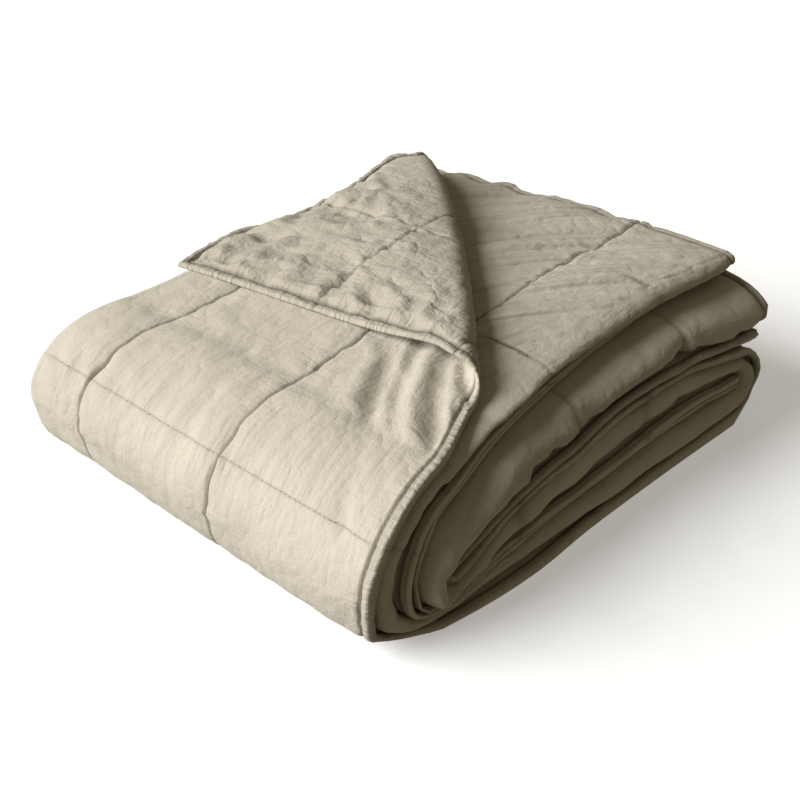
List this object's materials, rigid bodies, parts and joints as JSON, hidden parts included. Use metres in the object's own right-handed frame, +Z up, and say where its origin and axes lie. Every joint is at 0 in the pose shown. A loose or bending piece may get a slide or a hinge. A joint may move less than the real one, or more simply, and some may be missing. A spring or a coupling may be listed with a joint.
{
  "type": "folded quilt",
  "caption": "Box-quilted cotton quilt folded into a soft rectangular stack, with a rounded fold at one end and its top corner turned back.",
  "frame": {"origin": "middle of the folded stack's bounding box, on the surface that it rests on", "axes": "+X along the folded stack from its rounded fold to its loose ends, +Y from the side with the hems and folds to the far side, +Z up"},
  "size_m": [0.476, 0.4008, 0.1782],
  "materials": {
    "cotton": "matte washed cotton, plain, with thread of the same colour"
  },
  "bodies": {
    "root": {"quilt": "cotton"}
  },
  "joints": []
}
